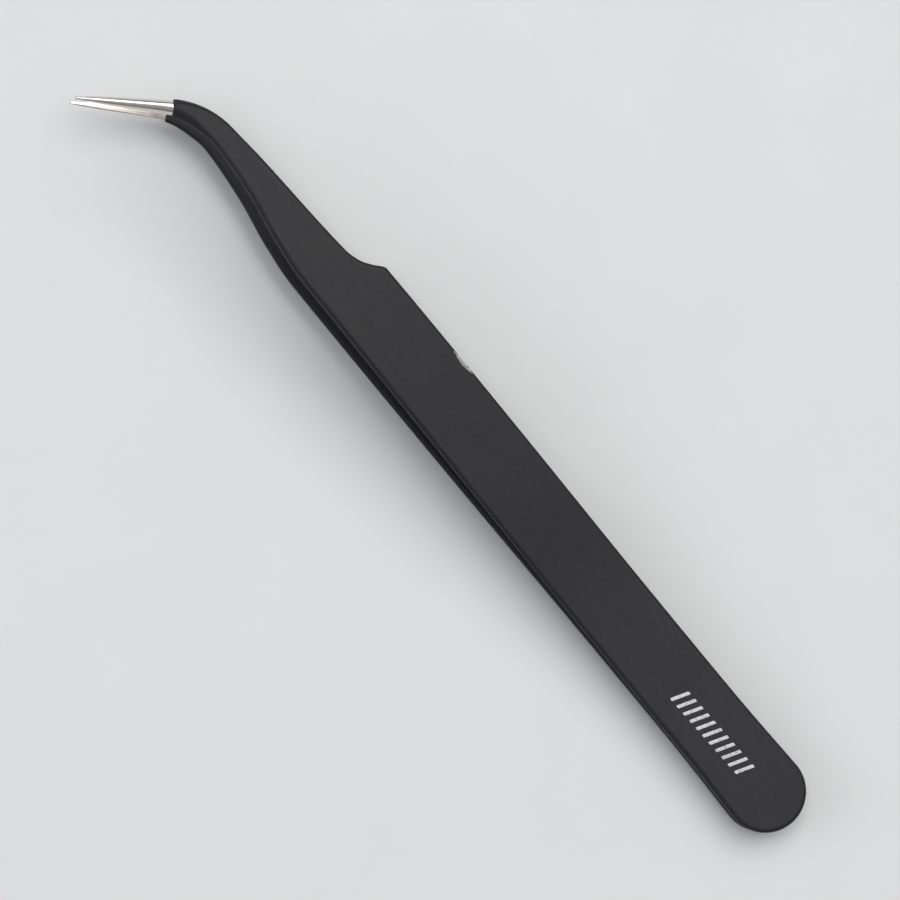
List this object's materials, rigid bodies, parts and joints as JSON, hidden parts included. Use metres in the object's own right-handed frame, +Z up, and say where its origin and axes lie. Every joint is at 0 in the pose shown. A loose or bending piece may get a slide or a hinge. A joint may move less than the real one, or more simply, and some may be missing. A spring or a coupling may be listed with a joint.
{
  "type": "tweezers",
  "caption": "Slim curved-tip tweezers for electronics work: two sprung steel arms joined at the tail, black coating, bare fine points bent sideways.",
  "frame": {"origin": "on the bench, under the middle of the tool's bounding box as it lies on one arm", "axes": "+X along the handle from the tail towards the points, +Z up from the bench, the points bend towards +Y"},
  "size_m": [0.1214, 0.016, 0.0141],
  "materials": {
    "coating": "satin black epoxy coating, static dissipative",
    "steel": "fine ground stainless steel",
    "weld": "spot weld nugget"
  },
  "bodies": {
    "tail": {"tail_coating": "coating", "upper_leaf_tail": "steel", "lower_leaf_tail": "steel", "tail_spacer": "steel", "spot_weld_1": "weld", "spot_weld_2": "weld"},
    "upper_arm": {"upper_leaf": "steel", "upper_coating": "coating"},
    "lower_arm": {"lower_leaf": "steel", "lower_coating": "coating"}
  },
  "joints": [
    {"name": "upper_arm_squeeze", "type": "hinge", "parent": "tail", "child": "upper_arm", "pos_m": [-0.03998, -0.00311, 0.00444], "axis": [0, 1, 0], "range_deg": [0, 2.26], "stiffness_Nm_per_rad": 2.25},
    {"name": "lower_arm_squeeze", "type": "hinge", "parent": "tail", "child": "lower_arm", "pos_m": [-0.03984, -0.00311, 0.00193], "axis": [0, -1, 0], "range_deg": [0, 2.26], "stiffness_Nm_per_rad": 2.25}
  ],
  "couplings": [
    {"joint": "lower_arm_squeeze", "follows": "upper_arm_squeeze", "ratio": 1}
  ]
}
